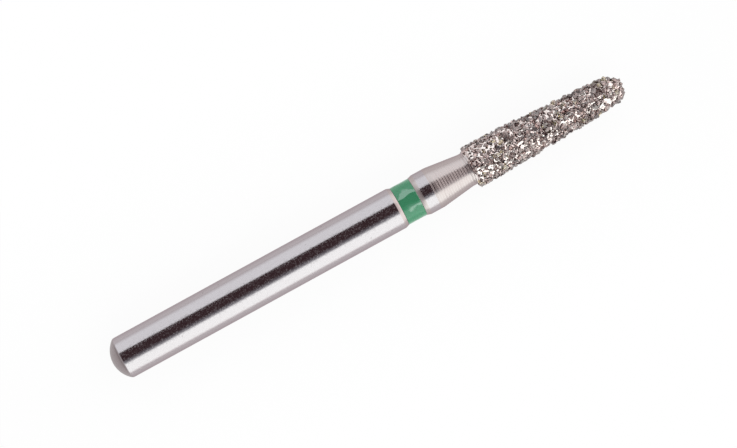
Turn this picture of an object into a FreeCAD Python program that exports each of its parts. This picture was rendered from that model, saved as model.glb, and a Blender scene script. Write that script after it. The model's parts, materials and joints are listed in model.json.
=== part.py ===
import FreeCAD, Part

import math
import os
import random

# Friction-grip dental bur with a round-ended, slightly tapered head coated in coarse diamond grit.
# Millimetres and degrees. The bur's axis is X, with the tip towards +X. The origin is on the axis,
# at the middle of the ground length that a turbine's chuck grips.

# Shank, ground bright to the chuck's size
shank_diameter = 1.60
grip_length = 11.19
butt_dome_radius = 1.00
butt_corner_radius = 0.20

# Groove that holds the colour band: two sloping shoulders, then straight walls as deep as the lacquer,
# which dries a little higher along its middle than at its edges
rear_shoulder_length = 0.14
front_shoulder_length = 0.17
shoulder_drop = 0.05
band_length = 0.74
lacquer_thickness = 0.11
lacquer_crown = 0.002

# Collar and turned neck
collar_diameter = 1.60
collar_length = 0.55
neck_diameter = 1.28
neck_cone_angle = 7.15
neck_land_length = 0.18

# Head, measured over the tips of the grains
head_diameter = 1.66
head_length = 6.38
head_taper_angle = 2.86
head_back_length = 0.13

# Coating: nickel plated on the core, and the grains that stand out of it. At the neck it starts thin
nickel_thickness = 0.10
nickel_edge_thickness = 0.035
grain_stand_out = 0.08
grain_pitch = 0.11
core_step_length = 0.05

# How unevenly the grains sit: the share of points that are grains, how high grains and the nickel
# between them reach as shares of grain_stand_out, and how far a point strays as a share of the pitch
grain_share = 0.45
grain_heights = (0.5, 1.0)
nickel_heights = (0.0, 0.2)
grain_stray = 0.22
grain_seed = 7
fewest_points_in_ring = 6
fewest_rings_on_round_end = 2

os.makedirs("parts", exist_ok=True)

# Stations along the axis, from the butt to the tip
shank_radius = shank_diameter / 2
grip_start = -grip_length / 2
grip_end = grip_length / 2
band_start = grip_end + rear_shoulder_length
band_end = band_start + band_length
collar_start = band_end + front_shoulder_length
neck_start = collar_start + collar_length
neck_cone_length = (collar_diameter - neck_diameter) / 2 / math.tan(math.radians(neck_cone_angle))
land_start = neck_start + neck_cone_length
head_start = land_start + neck_land_length
head_end = head_start + head_length

# Radii of the groove
band_radius = shank_radius - shoulder_drop
groove_radius = band_radius - lacquer_thickness


class HeadOutline:
    """Outline of the head, sunk below the tips of the grains: a cone that ends in a tangent sphere."""

    def __init__(self, sunk):
        self.lean = math.radians(head_taper_angle)
        self.start = head_start + head_back_length
        full_radius = head_diameter / 2
        reach = head_end - full_radius * math.cos(self.lean) - self.start * math.sin(self.lean)
        self.centre = reach / (1 - math.sin(self.lean))
        drop = (self.centre - self.start) * math.tan(self.lean)
        self.ball = (full_radius - drop) * math.cos(self.lean) - sunk
        self.start_radius = full_radius - sunk / math.cos(self.lean)
        self.tangent = self.ball_point(math.pi / 2 - self.lean)

    def ball_point(self, angle):
        """Point (x, radius) of the round end, at an angle from the axis."""
        return (self.centre + self.ball * math.cos(angle), self.ball * math.sin(angle))

    def cone_radius(self, x):
        return self.start_radius - (x - self.start) * math.tan(self.lean)


def point(x, radius, turn=0.0):
    return FreeCAD.Vector(x, radius * math.cos(turn), radius * math.sin(turn))


def line(a, b):
    return Part.makeLine(point(*a), point(*b))


def arc(a, middle, b):
    return Part.Arc(point(*a), point(*middle), point(*b)).toShape()


def turned(edges):
    """Solid turned about the X axis from edges in the XY plane, which a straight line closes."""
    start = edges[0].Vertexes[0].Point
    end = edges[-1].Vertexes[-1].Point
    outline = Part.Wire(edges + [Part.makeLine(end, start)])
    return Part.Face(outline).revolve(FreeCAD.Vector(0, 0, 0), FreeCAD.Vector(1, 0, 0), 360)


def butt_edges():
    """Domed butt: a shallow ball face and a corner rounded into the ground cylinder."""
    corner_height = shank_radius - butt_corner_radius
    ball_to_corner = butt_dome_radius - butt_corner_radius
    ball_centre = grip_start + math.sqrt(ball_to_corner**2 - corner_height**2)
    edge_angle = math.asin(corner_height / ball_to_corner)

    def ball_point(angle):
        return (ball_centre - butt_dome_radius * math.cos(angle), butt_dome_radius * math.sin(angle))

    def corner_point(angle):
        x = grip_start - butt_corner_radius * math.cos(angle)
        return (x, corner_height + butt_corner_radius * math.sin(angle))

    dome_end = ball_point(edge_angle)
    dome = arc(ball_point(0), ball_point(edge_angle / 2), dome_end)
    corner_middle = corner_point((edge_angle + math.pi / 2) / 2)
    corner = arc(dome_end, corner_middle, (grip_start, shank_radius))
    return [dome, corner]


def steel_blank():
    """The turned steel: shank, groove, collar, neck and the core that the coating covers."""
    core = HeadOutline(nickel_thickness + grain_stand_out)
    core_start = head_start + core_step_length
    steps = [
        (grip_start, shank_radius),
        (grip_end, shank_radius),
        (band_start, band_radius),
        (band_start, groove_radius),
        (band_end, groove_radius),
        (band_end, band_radius),
        (collar_start, collar_diameter / 2),
        (neck_start, collar_diameter / 2),
        (land_start, neck_diameter / 2),
        (head_start, neck_diameter / 2),
        (core_start, core.cone_radius(core_start)),
        core.tangent,
    ]
    straight = [line(a, b) for a, b in zip(steps, steps[1:])]
    ball_middle = core.ball_point((math.pi / 2 - core.lean) / 2)
    round_end = arc(core.tangent, ball_middle, core.ball_point(0))
    return turned(butt_edges() + straight + [round_end])


def colour_band():
    """Ring of lacquer that fills the groove to the foot of its shoulders, with a crowned surface."""
    rear_foot, front_foot = (band_start, groove_radius), (band_end, groove_radius)
    rear_edge, front_edge = (band_start, band_radius), (band_end, band_radius)
    crown = ((band_start + band_end) / 2, band_radius + lacquer_crown)
    surface = arc(rear_edge, crown, front_edge)
    return turned([line(rear_foot, rear_edge), surface, line(front_edge, front_foot)])


def nickel_stations():
    """Rings of the nickel's outline from the neck to the tip, as (x, radius, lean of the normal)."""
    nickel = HeadOutline(grain_stand_out)
    back_foot = (head_start, neck_diameter / 2 + nickel_edge_thickness)
    back_top = (nickel.start, nickel.start_radius)
    back_lean = -math.atan2(back_top[1] - back_foot[1], head_back_length)
    rings = []
    for a, b, lean in [(back_foot, back_top, back_lean), (back_top, nickel.tangent, nickel.lean)]:
        count = max(1, round(math.dist(a, b) / grain_pitch))
        for i in range(count):
            share = i / count
            rings.append((a[0] + (b[0] - a[0]) * share, a[1] + (b[1] - a[1]) * share, lean))
    sweep = math.pi / 2 - nickel.lean
    count = max(fewest_rings_on_round_end, round(nickel.ball * sweep / grain_pitch))
    for i in range(count + 1):
        angle = sweep * (1 - i / count)
        rings.append((*nickel.ball_point(angle), math.pi / 2 - angle))
    return rings


def strayed(chance):
    return grain_stray * chance.uniform(-1, 1)


def grit_point(x, radius, lean, turn, chance):
    """Point of the grit at a place on the nickel: the top of a grain, or low nickel between grains."""
    low, high = grain_heights if chance.random() < grain_share else nickel_heights
    out = grain_stand_out * chance.uniform(low, high)
    along = grain_pitch * strayed(chance)
    x += out * math.sin(lean) + along * math.cos(lean)
    radius += out * math.cos(lean) - along * math.sin(lean)
    return point(x, radius, turn)


def grit_rings(chance):
    """Rings of grit points as (turn, point), from a plain ring on the neck to a single point at the tip."""
    rings = []
    first, *middle, tip = nickel_stations()
    for station in [first, *middle]:
        x, radius, lean = station
        count = max(fewest_points_in_ring, round(2 * math.pi * radius / grain_pitch))
        offset = chance.random()
        turns = [2 * math.pi * (i + offset + strayed(chance)) / count for i in range(count)]
        if station == first:
            rings.append([(turn, point(x, radius, turn)) for turn in turns])
        else:
            rings.append([(turn, grit_point(x, radius, lean, turn, chance)) for turn in turns])
    tip_out = grain_stand_out * grain_heights[1]
    rings.append([(0.0, point(tip[0] + tip_out, 0))])
    return rings


def zipped(ring_a, ring_b):
    """Triangles between two rings of points, which may differ in number, stepping on by angle."""
    a = ring_a + [(ring_a[0][0] + 2 * math.pi, ring_a[0][1])]
    b = ring_b + [(ring_b[0][0] + 2 * math.pi, ring_b[0][1])]
    i = j = 0
    triangles = []
    while i < len(a) - 1 or j < len(b) - 1:
        b_is_done = j == len(b) - 1
        a_is_next = i < len(a) - 1 and (b_is_done or a[i + 1][0] + a[i][0] < b[j + 1][0] + b[j][0])
        if a_is_next:
            triangles.append((a[i][1], a[i + 1][1], b[j][1]))
            i += 1
        else:
            triangles.append((a[i][1], b[j + 1][1], b[j][1]))
            j += 1
    return triangles


def facet(corners):
    return Part.Face(Part.makePolygon([*corners, corners[0]]))


def diamond_coating(blank):
    """Nickel with its grains: a closed skin of facets, with the steel that it is plated on taken out."""
    rings = grit_rings(random.Random(grain_seed))
    facets = [facet([p for turn, p in rings[0]])]
    for ring_a, ring_b in zip(rings, rings[1:-1]):
        facets += [facet(triangle) for triangle in zipped(ring_a, ring_b)]
    last = [p for turn, p in rings[-2]]
    tip = rings[-1][0][1]
    facets += [facet((a, b, tip)) for a, b in zip(last, last[1:] + last[:1])]
    return Part.Solid(Part.Shell(facets)).cut(blank)


blank = steel_blank()
pieces = {
    "steel_blank": blank,
    "colour_band": colour_band(),
    "diamond_coating": diamond_coating(blank),
}
for name, shape in pieces.items():
    shape.exportStep(f"parts/{name}.step")
    print(name, "valid" if shape.isValid() else "broken", round(shape.Volume, 4), "mm3", shape.BoundBox)
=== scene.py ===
import json
import math

import bpy
import numpy as np
from mathutils import Matrix, Vector


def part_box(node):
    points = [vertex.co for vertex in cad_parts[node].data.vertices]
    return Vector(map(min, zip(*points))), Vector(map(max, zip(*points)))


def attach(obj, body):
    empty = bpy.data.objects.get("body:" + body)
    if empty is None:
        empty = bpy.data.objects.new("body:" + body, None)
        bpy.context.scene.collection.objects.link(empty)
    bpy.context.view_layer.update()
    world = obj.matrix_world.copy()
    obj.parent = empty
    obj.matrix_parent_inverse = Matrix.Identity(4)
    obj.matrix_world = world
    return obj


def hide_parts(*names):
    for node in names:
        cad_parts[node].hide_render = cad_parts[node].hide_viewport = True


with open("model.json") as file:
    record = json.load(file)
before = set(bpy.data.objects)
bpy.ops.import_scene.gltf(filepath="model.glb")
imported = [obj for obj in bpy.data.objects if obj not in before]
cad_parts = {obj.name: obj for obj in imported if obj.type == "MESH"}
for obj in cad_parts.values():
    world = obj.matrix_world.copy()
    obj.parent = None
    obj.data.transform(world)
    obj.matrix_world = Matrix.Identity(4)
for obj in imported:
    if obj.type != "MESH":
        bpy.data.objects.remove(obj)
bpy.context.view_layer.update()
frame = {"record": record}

# A friction-grip dental bur, lying as it was put down. Its axis is X, with the tip of the head towards +X.
# Lengths are metres, so each size below is a number of millimetres times mm.
mm = 0.001

# Camera
# It looks down on the bur from above, turned so that the bur points up to the right. The butt end is a
# little nearer to the lens than the head, and a long lens keeps the perspective weak. The picture's width
# is in pixels, and the lens gives the photograph's scale at view_distance, which is in millimetres.
photo_width = 737
sensor_width = 36
pixels_per_mm = 27.53
view_distance = 70
view_lean = math.radians(2.0)
view_roll = math.radians(28.72)
aim = Vector((4.45 * mm, -0.016 * mm, 0))

along_bur = Vector((math.cos(view_lean), 0, math.sin(view_lean)))
across_bur = Vector((0, 1, 0))
to_camera = along_bur.cross(across_bur)
image_right = math.cos(view_roll) * along_bur - math.sin(view_roll) * across_bur
image_up = math.sin(view_roll) * along_bur + math.cos(view_roll) * across_bur
lens = bpy.data.cameras.new("long_lens")
lens.sensor_width = sensor_width
lens.lens = view_distance * pixels_per_mm * sensor_width / photo_width
lens.clip_start = 1 * mm
lens.clip_end = 10
camera = bpy.data.objects.new("camera", lens)
turn_of_camera = Matrix((image_right, image_up, to_camera)).transposed().to_4x4()
camera.matrix_world = Matrix.Translation(aim + to_camera * view_distance * mm) @ turn_of_camera
bpy.context.scene.collection.objects.link(camera)
bpy.context.scene.camera = camera

# Steel blank
# One bar of stainless steel, turned to a groove, a collar, a neck and the core of the head. The shank and
# the collar are then ground bright. The butt stays dull where the bar was parted off, and the shoulders and
# the neck keep the marks of the turning tool.
shank_radius = frame["record"]["mounts"][0]["dims"]["r_mm"] * mm
grip_length = frame["record"]["mounts"][0]["dims"]["length_mm"] * mm
butt_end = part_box("steel_blank")[0].x
band_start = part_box("colour_band")[0].x
band_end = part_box("colour_band")[1].x
head_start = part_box("diamond_coating")[0].x
head_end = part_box("diamond_coating")[1].x
dome_radius = 1.00 * mm
corner_radius = 0.20 * mm
parted_length = 0.40 * mm
shoulder_drop = 0.05 * mm
groove_radius = 0.64 * mm
front_shoulder = 0.17 * mm
collar_length = 0.55 * mm
collar_unground = 0.15 * mm
neck_radius = 0.64 * mm
neck_land = 0.18 * mm
core_step = 0.05 * mm
coating_thickness = 0.18 * mm
head_widest = 0.83 * mm
head_back = 0.13 * mm
head_taper = math.radians(2.86)
edge_break = 0.015 * mm
turning_pitch = 0.035 * mm
turning_depth = 0.005 * mm
collar_mark_share = 0.8
land_mark_share = 1.5
mark_strengths = (1.3, 1.3, 0.38)
mark_scatter = 0.2
mark_seed = 5
points_per_mark = 6
points_round = 192
shank_rows = 24
dome_rows = 40
corner_rows = 16
ball_rows = 40

grip_start = -grip_length / 2
grip_end = grip_length / 2
band_radius = shank_radius - shoulder_drop
collar_start = band_end + front_shoulder
neck_start = collar_start + collar_length
marks_start = neck_start - collar_unground
land_start = head_start - neck_land


def rounded(corners, radius, steps=5):
    """Outline through corners, each eased by a curve between the points a radius before and after it:
    (1 - t)^2 of the first point, 2 t (1 - t) of the corner and t^2 of the last, for t from 0 to 1."""
    furthest_share_of_side = 0.45
    corners = np.array(corners, float)
    t = np.linspace(0, 1, steps)[:, None]
    pieces = [corners[:1]]
    for before, corner, after in zip(corners, corners[1:], corners[2:]):
        to_before, to_after = before - corner, after - corner
        reach_before, reach_after = np.linalg.norm(to_before), np.linalg.norm(to_after)
        first = corner + to_before * min(radius / reach_before, furthest_share_of_side)
        last = corner + to_after * min(radius / reach_after, furthest_share_of_side)
        pieces.append((1 - t) ** 2 * first + 2 * t * (1 - t) * corner + t**2 * last)
    return np.concatenate([*pieces, corners[-1:]])


def head_outline(sunk):
    """Outline of the head, sunk below the tips of the grains: a straight taper, then a ball that it meets
    without a corner, (centre + ball cos t, ball sin t). Gives the points (x, radius) from the widest place
    to the tip."""
    lean_x, lean_radius = math.sin(head_taper), math.cos(head_taper)
    start = head_start + head_back
    centre = (head_end - head_widest * lean_radius - start * lean_x) / (1 - lean_x)
    ball = (head_widest - (centre - start) * math.tan(head_taper)) * lean_radius - sunk
    t = np.linspace(math.pi / 2 - head_taper, 0, ball_rows)
    round_end = np.stack([centre + ball * np.cos(t), ball * np.sin(t)], 1)
    return np.concatenate([[(start, head_widest - sunk / lean_radius)], round_end])


def turned_grid(outline, columns):
    """Grid of an outline (x, r) turned about X: the point at turn t is (x, r cos t, r sin t)."""
    turn = np.linspace(0, 2 * math.pi, columns, endpoint=False)
    x = np.repeat(outline[:, :1], columns, axis=1)
    radius = outline[:, 1:2]
    return np.stack([x, radius * np.cos(turn), radius * np.sin(turn)], -1)


def ring_triangles(rows, columns, closed_ends=True):
    """Triangles of a grid of points whose columns go once round: two in each cell, as the numbers of the
    points, counted row by row. Where the ends are closed, the first and the last row are each one point,
    and otherwise the last row joins the first."""
    index = np.arange(rows * columns).reshape(rows, columns)
    if closed_ends:
        index[0], index[-1] = 0, rows * columns - 1
    else:
        index = np.concatenate([index, index[:1]])
    beside = np.roll(index, -1, axis=1)
    cells = np.stack([index[:-1], beside[:-1], beside[1:], index[1:]], -1).reshape(-1, 4)
    triangles = np.concatenate([cells[:, [0, 1, 2]], cells[:, [0, 2, 3]]])
    has_three_corners = (np.diff(np.sort(triangles, axis=1), axis=1) > 0).all(axis=1)
    return triangles[has_three_corners]


def new_piece(name, points, triangles):
    """A piece of triangles, which keeps only the points that they use. Gives the piece and the numbers of
    the points that it keeps, in their order."""
    used, corners = np.unique(triangles, return_inverse=True)
    mesh = bpy.data.meshes.new(name)
    mesh.from_pydata(points[used], [], corners.reshape(-1, 3))
    piece = bpy.data.objects.new(name, mesh)
    bpy.context.scene.collection.objects.link(piece)
    return piece, used


def smooth_piece(name, grid, closed_ends=True):
    """A smooth piece from a grid of points (row, column, xyz) whose columns go once round."""
    piece, _ = new_piece(name, grid.reshape(-1, 3), ring_triangles(*grid.shape[:2], closed_ends))
    piece.data.shade_smooth()
    return piece


# The butt is two arcs, each (centre - R cos t, height + R sin t): a dome, and a corner that leads into the
# shank's side.
corner_height = shank_radius - corner_radius
dome_centre = grip_start + math.sqrt((dome_radius - corner_radius) ** 2 - corner_height**2)
edge_angle = math.asin(corner_height / (dome_radius - corner_radius))
dome_turn = np.linspace(0, edge_angle, dome_rows)
dome = np.stack([dome_centre - dome_radius * np.cos(dome_turn), dome_radius * np.sin(dome_turn)], 1)
corner_turn = np.linspace(edge_angle, math.pi / 2, corner_rows)[1:]
corner = np.stack([
    grip_start - corner_radius * np.cos(corner_turn),
    corner_height + corner_radius * np.sin(corner_turn)], 1)
shank_x = np.linspace(grip_start, grip_end, shank_rows + 2)[1:-1]
shank = np.stack([shank_x, np.full(shank_rows, shank_radius)], 1)
shank_to_neck = rounded([
    shank[-1],
    (grip_end, shank_radius),
    (band_start, band_radius),
    (band_start, groove_radius),
    (band_end, groove_radius),
    (band_end, band_radius),
    (collar_start, shank_radius),
    (marks_start, shank_radius),
], edge_break)[1:]

# The tool marks are scallops in the cone: m marks along, the steel lies 1 - |cos(pi m)| of the mark's depth
# below it. Two deep marks and a faint one follow each other, each a little different.
mark_count = round((head_start - marks_start) / turning_pitch)
marks = np.linspace(0, mark_count, mark_count * points_per_mark + 1)[1:]
neck_x = marks_start + (head_start - marks_start) * marks / mark_count
cone = np.interp(neck_x, [neck_start, land_start], [shank_radius, neck_radius])
mark_depth = np.where(neck_x < land_start, 1.0, land_mark_share)
mark_depth = np.where(neck_x < neck_start, collar_mark_share, mark_depth)
scatter = np.random.default_rng(mark_seed).uniform(1 - mark_scatter, 1 + mark_scatter, mark_count)
strength = np.resize(mark_strengths, mark_count) * scatter
mark_depth = turning_depth * mark_depth * strength[np.ceil(marks).astype(int) - 1]
neck = np.stack([neck_x, cone - mark_depth * (1 - np.abs(np.cos(math.pi * marks)))], 1)

core = head_outline(coating_thickness)
step_share = (head_start + core_step - core[0, 0]) / (core[1, 0] - core[0, 0])
core_at_step = core[0] + step_share * (core[1] - core[0])
head_core = np.concatenate([[(head_start, neck_radius), core_at_step], core[1:]])
blank_outline = np.concatenate([dome, corner, shank, shank_to_neck, neck, head_core])
steel_blank = smooth_piece("turned_blank", turned_grid(blank_outline, points_round))


def linear(hex_colour):
    """Linear RGBA of an sRGB hex colour: each channel c becomes ((c + 0.055) / 1.055) ^ 2.4, or c / 12.92
    where it is very dark."""
    channels = np.array([int(hex_colour[i:i + 2], 16) / 255 for i in (1, 3, 5)])
    light = np.where(channels > 0.04045, ((channels + 0.055) / 1.055) ** 2.4, channels / 12.92)
    return (*light, 1.0)


def add_node(tree, kind, inputs=None, **settings):
    """Adds a node. Settings are its properties. Inputs go by name or number, to a value or to a socket."""
    node = tree.nodes.new(kind)
    for name, value in settings.items():
        setattr(node, name, value)
    for name, value in (inputs or {}).items():
        if isinstance(value, bpy.types.NodeSocket):
            tree.links.new(value, node.inputs[name])
        else:
            node.inputs[name].default_value = value
    return node


def new_material(name):
    """A material with one Principled shader. Gives the material, its node tree and the shader."""
    material = bpy.data.materials.new(name)
    material.use_nodes = True
    tree = material.node_tree
    return material, tree, tree.nodes["Principled BSDF"]


# Ground stainless steel: wheel marks run round the bar, too fine to show singly, so it mirrors the light
# in crisp bands along the bar. A fine grain dulls it in specks, drawn coarser than the real ones so that
# they show, and the wheel left a few pits, whose shade is painted in as spots of darker steel.
speck_size = 0.06 * mm
specks_above = 0.40
dullest_above = 0.75
clean_roughness = 0.10
speck_roughness = 0.34
pit_spacing = 0.4 * mm
pit_radius = 0.035 * mm
pit_floor_radius = 0.4 * pit_radius

ground_steel, tree, shader = new_material("ground_stainless_steel")
place = add_node(tree, "ShaderNodeTexCoord").outputs["Object"]
specks = add_node(tree, "ShaderNodeTexNoise", {"Vector": place, "Scale": 1 / speck_size, "Detail": 1.0})
dull = add_node(tree, "ShaderNodeMapRange", {
    "Value": specks.outputs["Fac"], "From Min": specks_above, "From Max": dullest_above,
    "To Min": clean_roughness, "To Max": speck_roughness})
# Painted shade in the pits: inside each pit the steel takes the darker colour, in place of a real hollow.
painted_pit_shade = add_node(tree, "ShaderNodeTexVoronoi", {"Vector": place, "Scale": 1 / pit_spacing})
outside_pit_shade = add_node(tree, "ShaderNodeMapRange", {
    "Value": painted_pit_shade.outputs["Distance"],
    "From Min": pit_floor_radius / pit_spacing, "From Max": pit_radius / pit_spacing})
colour = add_node(
    tree, "ShaderNodeMix", {"Factor": outside_pit_shade.outputs[0], 6: linear("#8A8183"), 7: linear("#B2AAAD")},
    data_type="RGBA")
tree.links.new(colour.outputs[2], shader.inputs["Base Color"])
tree.links.new(dull.outputs[0], shader.inputs["Roughness"])
shader.inputs["Specular Tint"].default_value = linear("#D4CACD")
shader.inputs["Metallic"].default_value = 1.0

# Turned stainless steel: marks finer than those of the mesh blur what it mirrors.
turned_steel, tree, shader = new_material("turned_stainless_steel")
shader.inputs["Base Color"].default_value = linear("#B4A9A8")
shader.inputs["Specular Tint"].default_value = linear("#D4CACD")
shader.inputs["Metallic"].default_value = 1.0
shader.inputs["Roughness"].default_value = 0.24

# Parted stainless steel: torn a little by the parting tool, so it is darker and has no bright bands.
parted_steel, tree, shader = new_material("parted_stainless_steel")
shader.inputs["Base Color"].default_value = linear("#9D9394")
shader.inputs["Metallic"].default_value = 1.0
shader.inputs["Roughness"].default_value = 0.38

finishes = [ground_steel, turned_steel, parted_steel]
for material in finishes:
    steel_blank.data.materials.append(material)
face_centre = np.empty(len(steel_blank.data.polygons) * 3)
steel_blank.data.polygons.foreach_get("center", face_centre)
face_x = face_centre[::3]
on_collar = (face_x > collar_start) & (face_x < marks_start)
finish = np.full(len(face_x), finishes.index(turned_steel), np.int32)
finish[on_collar | (face_x < grip_end)] = finishes.index(ground_steel)
finish[face_x < butt_end + parted_length] = finishes.index(parted_steel)
steel_blank.data.polygons.foreach_set("material_index", finish)
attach(steel_blank, "root")
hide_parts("steel_blank")

# Colour band
# A ring of green lacquer, the code for coarse grit, brushed into the groove while the bur spins. It dries
# glossy and a little uneven, so the light bands on it waver.
lacquer_crown = 0.002 * mm
band_rows = 40
unevenness = 0.012 * mm
ripple_length = 0.45 * mm
ripple_waves = 6
fewest_waves_round = 5
most_waves_round = 11
thick_places = 3
thick_turn = math.radians(86)
thin_edge = -0.4
lacquer_seed = 3

# The surface swells by 1 - s^2 from edge to edge, where s goes from -1 to 1 along the band. On it lies the
# mean of a few sine waves of the turn and of x, which fades by 1 - s^4 towards the edges.
s = np.linspace(-1, 1, band_rows)[:, None]
band_turn = np.linspace(0, 2 * math.pi, points_round, endpoint=False)
band_x = (band_start + band_end) / 2 + s * (band_end - band_start) / 2
chance = np.random.default_rng(lacquer_seed)
ripple = np.zeros((band_rows, points_round))
for _ in range(ripple_waves):
    waves_round = chance.integers(fewest_waves_round, most_waves_round + 1)
    waves_along = chance.uniform(-1, 1) * 2 * math.pi / ripple_length
    phase = chance.uniform(0, 2 * math.pi)
    ripple += np.sin(waves_round * band_turn + waves_along * band_x + phase) / ripple_waves
surface = band_radius + lacquer_crown * (1 - s**2) + unevenness * ripple * (1 - s**4)
outer = np.stack([band_x + 0 * band_turn, surface * np.cos(band_turn), surface * np.sin(band_turn)], -1)
inner = turned_grid(np.array([(band_end, groove_radius), (band_start, groove_radius)]), points_round)
colour_band = smooth_piece("lacquer_band", np.concatenate([outer, inner]), closed_ends=False)

# The lacquer is as full as the cosine of thick_places times the turn, and less full towards its rear edge.
thinness = np.maximum(thin_edge - s, 0) / (1 + thin_edge)
fullness = np.cos(thick_places * (band_turn - thick_turn)) - thinness
fullness = np.concatenate([fullness, 0 * fullness[:2]])
attribute = colour_band.data.attributes.new("fullness", "FLOAT", "POINT")
attribute.data.foreach_set("value", fullness.ravel())

# Gloss lacquer: where it lies thick it shines in ragged patches, and where it is thin it is only satin.
patch_size = 0.3 * mm
raggedness = 3.0
satin_up_to = 1.5
glossy_from = 1.9

green_lacquer, tree, shader = new_material("green_gloss_lacquer")
place = add_node(tree, "ShaderNodeTexCoord").outputs["Object"]
ragged = add_node(tree, "ShaderNodeTexNoise", {"Vector": place, "Scale": 1 / patch_size, "Detail": 4.0})
full = add_node(tree, "ShaderNodeAttribute", attribute_name="fullness")
shine = add_node(
    tree, "ShaderNodeMath", {0: ragged.outputs["Fac"], 1: raggedness, 2: full.outputs["Fac"]},
    operation="MULTIPLY_ADD")
patches = add_node(tree, "ShaderNodeMapRange", {
    "Value": shine.outputs[0], "From Min": satin_up_to, "From Max": glossy_from})
tree.links.new(patches.outputs[0], shader.inputs["Coat Weight"])
shader.inputs["Base Color"].default_value = linear("#3A8761")
shader.inputs["Roughness"].default_value = 0.12
shader.inputs["Coat Roughness"].default_value = 0.04
shader.inputs["Coat IOR"].default_value = 1.9
colour_band.data.materials.append(green_lacquer)
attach(colour_band, "root")
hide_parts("colour_band")

# Nickel
# Plated on the core until it holds the grains by half their height. It creeps up the side of each grain,
# and what shows between them is a bright net of small hollows.
grain_stand_out = 0.08 * mm
feather_length = 0.07 * mm
feather_thickness = 0.015 * mm
back_rounding = 0.05 * mm
nickel_spacing = 0.025 * mm
creep_height = 0.024 * mm
creep_width = 0.018 * mm
nickel_lumps = 0.032 * mm
bare_edge = 0.14 * mm
grain_spacing = 0.130 * mm
grain_radius = 0.106 * mm
grain_size_range = (0.7, 1.3)
grain_top_range = (0.6, 2.0)
held_share = 0.8
grain_candidates = 14000
outline_samples = 4000
lost_share = 0.02
grain_seed = 16

cone_and_ball = head_outline(grain_stand_out)
feather_end = (head_start + feather_length, neck_radius + feather_thickness)
back = rounded([(head_start, neck_radius), feather_end, cone_and_ball[0], cone_and_ball[1]], back_rounding)
path = np.concatenate([back[:-1], cone_and_ball[1:]])
reach = np.concatenate([[0], np.cumsum(np.linalg.norm(np.diff(path, axis=0), axis=1))])


def on_head(distance):
    """Point and outward normal of the nickel's outline at a distance along it from the neck. The point lies
    between two of the outline's own, and the normal is the way from a step behind it to a step ahead,
    turned by a quarter."""
    step = 0.01 * mm
    x, radius = np.interp(distance, reach, path[:, 0]), np.interp(distance, reach, path[:, 1])
    ahead, behind = np.clip(distance + step, 0, reach[-1]), np.clip(distance - step, 0, reach[-1])
    along_x = np.interp(ahead, reach, path[:, 0]) - np.interp(behind, reach, path[:, 0])
    along_radius = np.interp(ahead, reach, path[:, 1]) - np.interp(behind, reach, path[:, 1])
    size = np.hypot(along_x, along_radius)
    return x, radius, -along_radius / size, along_x / size


def swept(x, radius, turn):
    """Point (x, r cos t, r sin t) of a place at turn t on the head."""
    return np.stack(np.broadcast_arrays(x, radius * np.cos(turn), radius * np.sin(turn)), -1)


# Grains are dropped anywhere on the head but its bare edge, as many on each square millimetre. One that
# would lie too near to an earlier one is left out, and a few more are lost.
chance = np.random.default_rng(grain_seed)
sample = np.linspace(bare_edge, reach[-1], outline_samples)
area_so_far = np.cumsum(on_head(sample)[1])
try_distance = np.interp(chance.uniform(0, area_so_far[-1], grain_candidates), area_so_far, sample)
try_turn = chance.uniform(0, 2 * math.pi, grain_candidates)
try_x, try_radius, try_normal_x, try_normal_radius = on_head(try_distance)
try_place = swept(try_x, try_radius, try_turn)
kept = []
for i in range(grain_candidates):
    if not kept or np.linalg.norm(try_place[kept] - try_place[i], axis=1).min() > grain_spacing:
        kept.append(i)
kept = [i for i in kept if chance.random() > lost_share]
grain_place = try_place[kept]
grain_normal = swept(try_normal_x[kept], try_normal_radius[kept], try_turn[kept])
grain_count = len(kept)
grain_size = grain_radius * chance.uniform(*grain_size_range, grain_count)
grain_top = grain_stand_out * chance.uniform(*grain_top_range, grain_count)

# Beside a grain the nickel is higher, by creep_height at its side and less, by exp(-gap / creep_width),
# away from it. It closes in to held_share of the grain's size and climbs to no more than held_share of its
# top. Lumps of smoothed noise are added. The edge at the neck stays flat, and the tip is one point.
rows = round(reach[-1] / nickel_spacing)
row_x, row_radius, row_normal_x, row_normal_radius = on_head(np.linspace(0, reach[-1], rows)[:, None])
columns = round(2 * math.pi * row_radius.max() / nickel_spacing)
turn = np.linspace(0, 2 * math.pi, columns, endpoint=False)
nickel_grid = swept(row_x, row_radius, turn)
nickel_normal = swept(row_normal_x, row_normal_radius, turn)
nickel_height = np.zeros((rows, columns))
for place, size, top in zip(grain_place, grain_size, grain_top):
    gap = np.linalg.norm(nickel_grid - place, axis=-1) - held_share * size
    creep = min(creep_height, held_share * top) * np.exp(-np.maximum(gap, 0) / creep_width)
    nickel_height = np.maximum(nickel_height, creep)
lumps = chance.uniform(-1, 1, nickel_height.shape)
for axis in (0, 1):
    lumps = (np.roll(lumps, 1, axis) + lumps + np.roll(lumps, -1, axis)) / 3
nickel_height += nickel_lumps * lumps
nickel_height[0] = 0
nickel_height[-1] = nickel_height[-1, 0]
nickel_grid = nickel_grid + nickel_normal * nickel_height[..., None]
neck_end = swept(row_x[:1], 0 * row_radius[:1], turn)
nickel = smooth_piece("nickel_bond", np.concatenate([neck_end, nickel_grid]))

# Electroplated nickel: smooth, with a warm cast, so each hollow mirrors the light or the dark in a spot.
bright_nickel, tree, shader = new_material("electroplated_nickel")
shader.inputs["Base Color"].default_value = linear("#E2D5D1")
shader.inputs["Metallic"].default_value = 1.0
shader.inputs["Roughness"].default_value = 0.06
nickel.data.materials.append(bright_nickel)
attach(nickel, "root")
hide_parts("diamond_coating")

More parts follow.
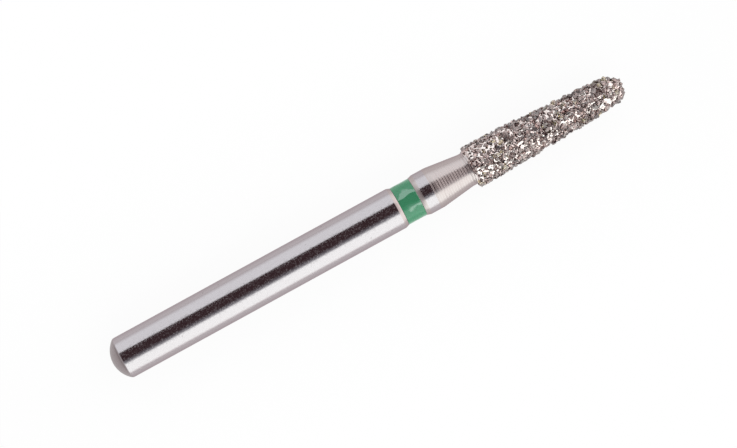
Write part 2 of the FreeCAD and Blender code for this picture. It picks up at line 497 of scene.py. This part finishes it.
# Diamond grains
# Blocky synthetic crystals with cut corners, about 0.2 mm across, each held in the nickel at its own tilt.
# Most are grey, and some are a pale yellow green.
widest_reach = 0.825 * mm
corner_count = 5
ring_height = np.array([-1, -1, -0.6, 0.6, 1, 1])
ring_radius = np.array([0, 0.65, 1, 1, 0.65, 0])
ring_count = len(ring_height)
radius_range = (0.8, 1.15)
height_range = (0.75, 1.05)
corner_stray = 0.35
grey = np.array(linear("#B6A19E"))
yellow = np.array(linear("#C6BD9C"))
yellow_share = 0.12
tint_range = (0.3, 1.8)

# A crystal is six rings of five corners, (r cos t, r sin t, h), with the end rings drawn to a point. Its
# radii, its height and the places of its corners stray at random.
ring_scale = ring_radius * chance.uniform(*radius_range, (grain_count, ring_count))
corner_scale = chance.uniform(*radius_range, (grain_count, corner_count))
corner_turn = 2 * math.pi * np.arange(corner_count) / corner_count
corner_turn = corner_turn + chance.uniform(-corner_stray, corner_stray, (grain_count, corner_count))
radius = ring_scale[:, :, None] * corner_scale[:, None, :]
crystal = np.stack(np.broadcast_arrays(
    radius * np.cos(corner_turn)[:, None, :],
    radius * np.sin(corner_turn)[:, None, :],
    (ring_height * chance.uniform(*height_range, (grain_count, 1)))[:, :, None]), -1)

# Each is turned by a random unit quaternion (w, i, j, k), and lifted until its highest corner stands at
# grain_top along the normal.
q = chance.normal(size=(grain_count, 4))
w, i, j, k = (q / np.linalg.norm(q, axis=1, keepdims=True)).T
tilt = np.stack([
    1 - 2 * (j * j + k * k), 2 * (i * j - k * w), 2 * (i * k + j * w),
    2 * (i * j + k * w), 1 - 2 * (i * i + k * k), 2 * (j * k - i * w),
    2 * (i * k - j * w), 2 * (j * k + i * w), 1 - 2 * (i * i + j * j)], -1).reshape(-1, 3, 3)
crystal = np.einsum("nab,nrcb->nrca", tilt, crystal) * grain_size[:, None, None, None]
height = np.einsum("nrca,na->nrc", crystal, grain_normal).max(axis=(1, 2))
lift = (grain_top - height)[:, None] * grain_normal
crystal = crystal + (grain_place + lift)[:, None, None, :]

# A grain that reaches past the head's widest place or its tip is pushed in by as much.
reach_out = np.hypot(crystal[..., 1], crystal[..., 2]).max(axis=(1, 2))
too_wide = np.maximum(reach_out - widest_reach, 0)
too_long = np.maximum(crystal[..., 0].max(axis=(1, 2)) - head_end, 0)
outwards = grain_place[:, 1:] / np.linalg.norm(grain_place[:, 1:], axis=1, keepdims=True)
crystal[..., 0] -= too_long[:, None, None]
crystal[..., 1:] -= (too_wide[:, None] * outwards)[:, None, None, :]

points_each = ring_count * corner_count
first_point = points_each * np.arange(grain_count)[:, None, None]
triangles = ring_triangles(ring_count, corner_count) + first_point
grains, used = new_piece("diamond_grains", crystal.reshape(-1, 3), triangles.reshape(-1, 3))
grains.data.shade_flat()
is_yellow = chance.random((grain_count, 1)) < yellow_share
tint = np.where(is_yellow, yellow, grey) * chance.uniform(*tint_range, (grain_count, 1))
tint[:, 3] = 1
attribute = grains.data.attributes.new("grain_tint", "FLOAT_COLOR", "POINT")
attribute.data.foreach_set("color", np.repeat(tint, points_each, axis=0)[used].ravel())

# Synthetic diamond: clear and of a high index, so its faces flash and the nickel shows through in its tint.
diamond, tree, shader = new_material("synthetic_diamond")
tint = add_node(tree, "ShaderNodeAttribute", attribute_name="grain_tint")
tree.links.new(tint.outputs["Color"], shader.inputs["Base Color"])
shader.inputs["Roughness"].default_value = 0.03
shader.inputs["IOR"].default_value = 2.42
shader.inputs["Specular Tint"].default_value = linear("#FFF0EE")
shader.inputs["Transmission Weight"].default_value = 1.0
grains.data.materials.append(diamond)
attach(grains, "root")

# Floor
# A strip of white paper that the bur lies on, and that keeps the bur's soft shadow. Most of the white that
# the camera, the metal and the grains see is its own: white_share under the bur, rising to all of it at its
# edges, so that it ends without a line. The rest is the light that falls on it.
half_length = 600 * mm
half_width = 7 * mm
paper_height = -0.83 * mm
white_share = 0.92

mesh = bpy.data.meshes.new("floor")
corners = np.array([(-1, -1), (1, -1), (1, 1), (-1, 1)]) * (half_length, half_width)
mesh.from_pydata(np.column_stack([corners, np.full(4, paper_height)]), [], [(0, 1, 2, 3)])
floor = bpy.data.objects.new("floor", mesh)
bpy.context.scene.collection.objects.link(floor)

# White paper: matt, so it takes the soft shadow and mirrors nothing.
white_paper, tree, shader = new_material("white_paper")
shader.inputs["Base Color"].default_value = linear("#FAFAFA")
shader.inputs["Roughness"].default_value = 1.0
shader.inputs["Specular IOR Level"].default_value = 0.0
ray = add_node(tree, "ShaderNodeLightPath").outputs
seen = ray["Is Camera Ray"]
for other in (ray["Is Glossy Ray"], ray["Is Transmission Ray"]):
    seen = add_node(tree, "ShaderNodeMath", {0: seen, 1: other}, operation="MAXIMUM").outputs[0]
place = add_node(tree, "ShaderNodeTexCoord").outputs["Object"]
place_across = add_node(tree, "ShaderNodeSeparateXYZ", {"Vector": place}).outputs["Y"]
away = add_node(tree, "ShaderNodeMath", {0: place_across}, operation="ABSOLUTE").outputs[0]
own_white = add_node(tree, "ShaderNodeMapRange", {
    "Value": away, "From Max": half_width, "To Min": white_share, "To Max": 1.0}).outputs[0]
seen = add_node(tree, "ShaderNodeMath", {0: seen, 1: own_white}, operation="MULTIPLY").outputs[0]
white = add_node(tree, "ShaderNodeEmission", {"Color": (1, 1, 1, 1), "Strength": 1.0}).outputs[0]
mixed = add_node(tree, "ShaderNodeMixShader", {0: seen, 1: shader.outputs[0], 2: white})
tree.links.new(mixed.outputs[0], tree.nodes["Material Output"].inputs["Surface"])
mesh.materials.append(white_paper)

# Light
# A tent of white cloth, open above for the camera: a grey panel on one side of the bur, a bright one on the
# other, and between them a dark gap with one crisp edge and one soft edge. The cloth is duller below the
# bur, and the tent's ends are pale pink, the butt's the darker.
grey_panel = (1.34, 1.43, 1.45)
bright_panel = (1.96, 2.12, 2.06)
dark_gap = (0.07, 0.04, 0.045)
butt_cloth = (0.62, 0.60, 0.60)
head_cloth = (1.60, 1.52, 1.50)
far_head_cloth = (2.00, 1.90, 1.88)
tent_light = 2.2

# Each stop is an angle in degrees, the light that comes from there (red, green and blue, where 1 is white)
# and how much the cloth covers there: where an end covers less, the sides show through it. Across the bur
# the angle goes from straight above towards -Y, the lower side in the picture. Along the bur it goes from
# square to the axis towards the head.
across_stops = [
    (-102, (0.82, 0.79, 0.80), 1),
    (-80, grey_panel, 1),
    (-32.4, grey_panel, 1),
    (-30.4, dark_gap, 1),
    (12.5, dark_gap, 1),
    (20, (0.17, 0.16, 0.18), 1),
    (31, (0.50, 0.52, 0.55), 1),
    (38.5, bright_panel, 1),
    (90, bright_panel, 1),
    (101, (1.10, 1.06, 1.06), 1),
]
along_stops = [
    (-90, butt_cloth, 1),
    (-34, butt_cloth, 1),
    (-22, butt_cloth, 0),
    (20, head_cloth, 0),
    (30, head_cloth, 0.55),
    (42, head_cloth, 0.6),
    (52, far_head_cloth, 1),
    (90, far_head_cloth, 1),
]


def put_stops(ramp, stops, half_range):
    """Puts stops on a colour ramp that runs from minus half_range degrees to half_range."""
    while len(ramp.elements) < len(stops):
        ramp.elements.new(0.5)
    for element, (angle, light, cover) in zip(ramp.elements, stops):
        element.position = (angle + half_range) / (2 * half_range)
        element.color = (*(channel / tent_light for channel in light), cover)


world = bpy.data.worlds.new("light_tent")
bpy.context.scene.world = world
world.use_nodes = True
tree = world.node_tree
direction = add_node(tree, "ShaderNodeTexCoord").outputs["Generated"]
parts = add_node(tree, "ShaderNodeSeparateXYZ", {"Vector": direction})
to_lower_side = add_node(tree, "ShaderNodeMath", {0: parts.outputs["Y"], 1: -1.0}, operation="MULTIPLY")
across = add_node(
    tree, "ShaderNodeMath", {0: to_lower_side.outputs[0], 1: parts.outputs["Z"]}, operation="ARCTAN2")
across_share = add_node(
    tree, "ShaderNodeMapRange", {"Value": across.outputs[0], "From Min": -math.pi, "From Max": math.pi})
sides = add_node(tree, "ShaderNodeValToRGB", {"Fac": across_share.outputs[0]})
put_stops(sides.color_ramp, across_stops, 180)
along = add_node(tree, "ShaderNodeMath", {0: parts.outputs["X"]}, operation="ARCSINE")
along_share = add_node(tree, "ShaderNodeMapRange", {
    "Value": along.outputs[0], "From Min": -math.pi / 2, "From Max": math.pi / 2})
ends = add_node(tree, "ShaderNodeValToRGB", {"Fac": along_share.outputs[0]})
put_stops(ends.color_ramp, along_stops, 90)
cloth = add_node(tree, "ShaderNodeMix", {
    "Factor": ends.outputs["Alpha"], 6: sides.outputs["Color"], 7: ends.outputs["Color"]},
    data_type="RGBA")
tent = tree.nodes["Background"]
tree.links.new(cloth.outputs[2], tent.inputs["Color"])
tent.inputs["Strength"].default_value = tent_light

# The camera sees plain white in place of the tent.
white = add_node(tree, "ShaderNodeBackground", {"Color": (1, 1, 1, 1), "Strength": 1.0})
ray = add_node(tree, "ShaderNodeLightPath").outputs
seen = add_node(tree, "ShaderNodeMixShader", {
    0: ray["Is Camera Ray"], 1: tent.outputs[0], 2: white.outputs[0]})
tree.links.new(seen.outputs[0], tree.nodes["World Output"].inputs["Surface"])

bpy.context.scene.view_settings.view_transform = "Standard"
